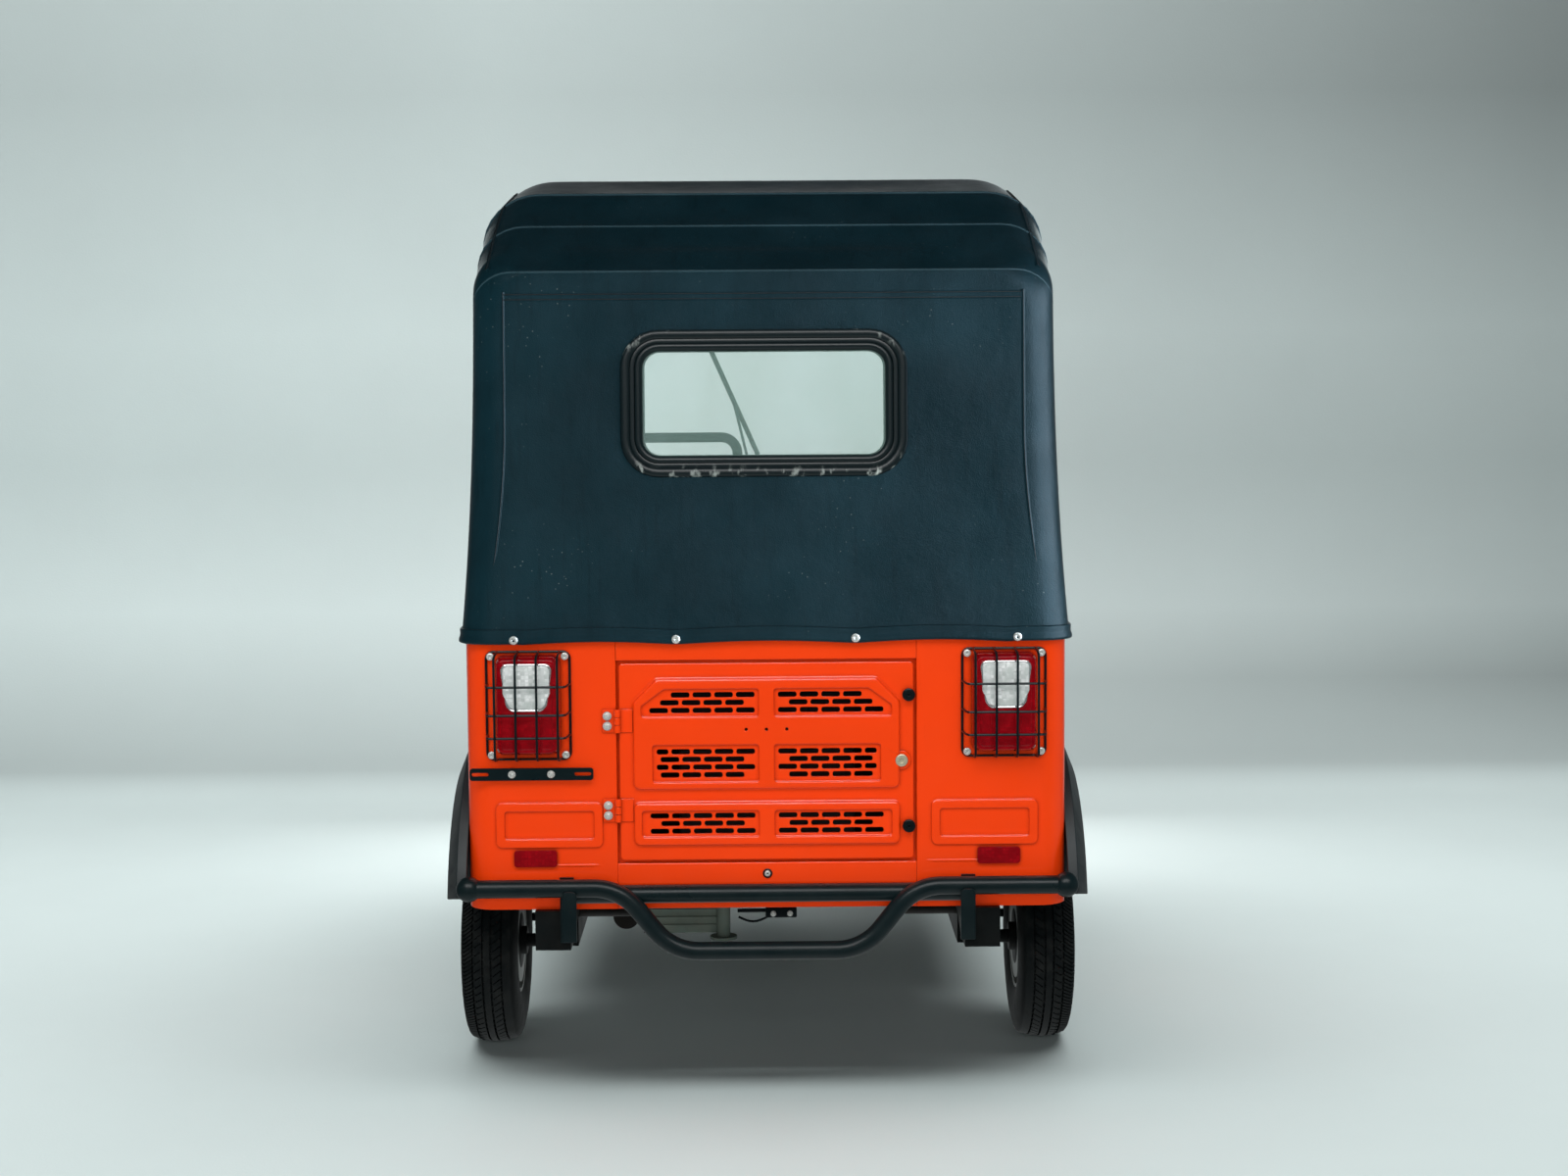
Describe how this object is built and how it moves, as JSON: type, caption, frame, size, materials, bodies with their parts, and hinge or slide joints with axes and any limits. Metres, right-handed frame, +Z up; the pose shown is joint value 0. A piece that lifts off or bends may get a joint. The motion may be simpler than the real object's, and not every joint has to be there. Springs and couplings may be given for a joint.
{
  "type": "auto rickshaw",
  "caption": "Open-sided motor tricycle with a stamped steel body, soft top, bench seat, slotted engine access door and a dipped tube bumper.",
  "frame": {"origin": "on the ground under the middle of the vehicle's bounding box", "axes": "+Z up, +Y towards the rear, -Y is the driving direction, +X towards the vehicle's left side"},
  "size_m": [1.282, 2.6446, 1.8099],
  "materials": {
    "body_paint": "gloss orange enamel",
    "black_paint": "satin black powder coat",
    "vinyl": "grained coated cloth",
    "seal_rubber": "moulded black rubber",
    "tyre": "matt treaded rubber",
    "clear_glass": "clear, faint green",
    "red_lens": "clear red lens",
    "amber_lens": "amber lens",
    "lamp_glass": "fluted lens",
    "plated_steel": "bright zinc plate",
    "seat_vinyl": "grained black seat vinyl",
    "black_plastic": "grained moulded plastic",
    "rim_steel": "silver stoved paint",
    "casting_paint": "grey green machinery paint",
    "engine_metal": "cast aluminium",
    "floor_paint": "black chassis paint"
  },
  "bodies": {
    "vehicle": {"chassis_frame": "floor_paint", "floor_pan": "floor_paint", "front_cowl": "body_paint", "windscreen_frame": "black_paint", "windscreen_glass": "clear_glass", "windscreen_wiper": "black_plastic", "dash_panel": "black_plastic", "headlamps": "lamp_glass", "front_indicators": "amber_lens", "quarter_panel_left": "body_paint", "quarter_panel_right": "body_paint", "rear_centre_panel": "body_paint", "door_hinges": "body_paint", "tail_lamps": "red_lens", "lamp_guards": "black_paint", "reflectors": "red_lens", "plate_bracket": "black_paint", "rear_bumper": "black_paint", "fender_flares": "black_plastic", "wheel_housings": "floor_paint", "canopy": "vinyl", "cab_frame": "black_paint", "rear_window_seal": "seal_rubber", "rear_window_glass": "clear_glass", "seat_base": "black_paint", "passenger_cushion": "seat_vinyl", "passenger_backrest": "seat_vinyl", "driver_seat_base": "black_paint", "driver_cushion": "seat_vinyl", "driver_backrest": "seat_vinyl", "partition": "black_paint", "engine_block": "engine_metal", "drive_casting": "casting_paint", "silencer": "black_paint", "trailing_arms": "floor_paint", "shock_absorbers": "plated_steel", "half_shafts": "plated_steel", "mirrors": "black_plastic"},
    "steering": {"steering_fork": "black_paint", "front_mudguard": "body_paint", "handlebar": "black_paint", "handlebar_grips": "seal_rubber"},
    "front_wheel": {"front_rim": "rim_steel", "front_tyre": "tyre"},
    "rear_wheel_left": {"rear_rim_left": "rim_steel", "rear_tyre_left": "tyre"},
    "rear_wheel_right": {"rear_rim_right": "rim_steel", "rear_tyre_right": "tyre"},
    "engine_access_door": {"engine_door": "body_paint", "door_lock": "plated_steel", "door_buffers": "seal_rubber"}
  },
  "joints": [
    {"name": "steering_turn", "type": "hinge", "parent": "vehicle", "child": "steering", "pos_m": [0, -0.88662, 0.6], "axis": [0, 0.342, 0.9397], "range_deg": [-40, 40]},
    {"name": "front_wheel_spin", "type": "hinge", "parent": "steering", "child": "front_wheel", "pos_m": [0, -1.055, 0.21], "axis": [1, 0, 0], "continuous": true},
    {"name": "rear_left_spin", "type": "hinge", "parent": "vehicle", "child": "rear_wheel_left", "pos_m": [0.575, 0.935, 0.21], "axis": [1, 0, 0], "continuous": true},
    {"name": "rear_right_spin", "type": "hinge", "parent": "vehicle", "child": "rear_wheel_right", "pos_m": [-0.575, 0.935, 0.21], "axis": [1, 0, 0], "continuous": true},
    {"name": "engine_door_hinge", "type": "hinge", "parent": "vehicle", "child": "engine_access_door", "pos_m": [0.2935, 1.2713, 0.636], "axis": [0, 0, -1], "range_deg": [0, 110]}
  ]
}
